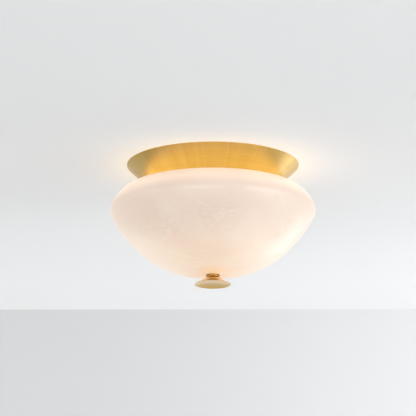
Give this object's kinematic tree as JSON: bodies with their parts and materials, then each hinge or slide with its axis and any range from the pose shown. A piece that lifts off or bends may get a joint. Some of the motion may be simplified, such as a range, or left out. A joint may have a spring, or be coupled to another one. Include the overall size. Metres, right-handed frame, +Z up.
{
  "type": "flush mount ceiling light",
  "caption": "Flush mount ceiling light: a turned alabaster bowl with an in-curved rim hangs on a central rod under a conical brass canopy, held by a trumpet-shaped brass finial.",
  "frame": {"origin": "centre of the crossbar's box-screw pattern, on its top face against the ceiling", "axes": "+Z up into the ceiling along the threaded rod; +X along the crossbar and the lamps"},
  "size_m": [0.3557, 0.3558, 0.2134],
  "materials": {
    "canopy_brass": "satin brushed",
    "finial_brass": "satin turned",
    "cap_nut_brass": "satin",
    "alabaster": "honed, translucent",
    "zinc_steel": "zinc plated",
    "rod_steel": "yellow zinc plated thread",
    "porcelain": "glazed",
    "shell_metal": "nickel plated brass",
    "contact_brass": "bright",
    "bulb_glass": "frosted",
    "bulb_cap_metal": "bright threaded",
    "bulb_insulator": "black glass",
    "filament": "phosphor coated",
    "stem_glass": "clear",
    "rubber_black": "matte",
    "block_plastic": "moulded",
    "live_insulation": "black wire",
    "neutral_insulation": "white wire",
    "earth_insulation": "green wire",
    "earth_green": "green dyed zinc"
  },
  "bodies": {
    "root": {"bowl_stop_nut": "zinc_steel", "bowl_stop_washer": "zinc_steel", "bracket_lock_washer": "zinc_steel", "bracket_lower_nut": "zinc_steel", "bracket_upper_nut": "zinc_steel", "canopy": "canopy_brass", "canopy_cap_nuts": "cap_nut_brass", "canopy_studs": "zinc_steel", "contact_leaf_left": "contact_brass", "contact_leaf_right": "contact_brass", "crossbar": "zinc_steel", "earth_lead": "earth_insulation", "earth_lug": "shell_metal", "earth_screw": "earth_green", "holder_screws_left": "zinc_steel", "holder_screws_right": "zinc_steel", "hub_lock_nut": "zinc_steel", "lampholder_bracket": "zinc_steel", "lampholder_left": "porcelain", "lampholder_right": "porcelain", "lead_grommets": "rubber_black", "live_lead": "live_insulation", "live_link": "live_insulation", "neutral_lead": "neutral_insulation", "neutral_link": "neutral_insulation", "screw_shell_left": "shell_metal", "screw_shell_right": "shell_metal", "stud_lock_nuts": "zinc_steel", "terminal_block": "block_plastic", "terminal_clamp_screws": "shell_metal", "terminal_fixing_nut": "zinc_steel", "terminal_fixing_screw": "zinc_steel", "threaded_rod": "rod_steel", "upper_cushion": "rubber_black"},
    "bulb_left": {"bulb_cap_left": "bulb_cap_metal", "bulb_contact_left": "shell_metal", "bulb_filaments_left": "filament", "bulb_glass_left": "bulb_glass", "bulb_insulator_left": "bulb_insulator", "bulb_stem_left": "stem_glass"},
    "bulb_right": {"bulb_cap_right": "bulb_cap_metal", "bulb_contact_right": "shell_metal", "bulb_filaments_right": "filament", "bulb_glass_right": "bulb_glass", "bulb_insulator_right": "bulb_insulator", "bulb_stem_right": "stem_glass"},
    "bowl": {"alabaster_bowl": "alabaster", "check_ring": "finial_brass", "lower_cushion": "rubber_black"},
    "finial": {"finial": "finial_brass"}
  },
  "joints": [
    {"name": "bowl_drop", "type": "slide", "parent": "root", "child": "bowl", "axis": [0, 0, -1], "range_m": [0, 0.0081]},
    {"name": "finial_turn", "type": "hinge", "parent": "bowl", "child": "finial", "pos_m": [0, 0, -0.2], "axis": [0, 0, -1], "range_deg": [0, 2880]},
    {"name": "bulb_left_turn", "type": "hinge", "parent": "root", "child": "bulb_left", "pos_m": [-0.045, 0, -0.086], "axis": [-1, 0, 0], "range_deg": [0, 1800]},
    {"name": "bulb_right_turn", "type": "hinge", "parent": "root", "child": "bulb_right", "pos_m": [0.045, 0, -0.086], "axis": [1, 0, 0], "range_deg": [0, 1800]}
  ],
  "couplings": [
    {"joint": "bowl_drop", "follows": "finial_turn", "m_per_rad": 0.00015915}
  ]
}
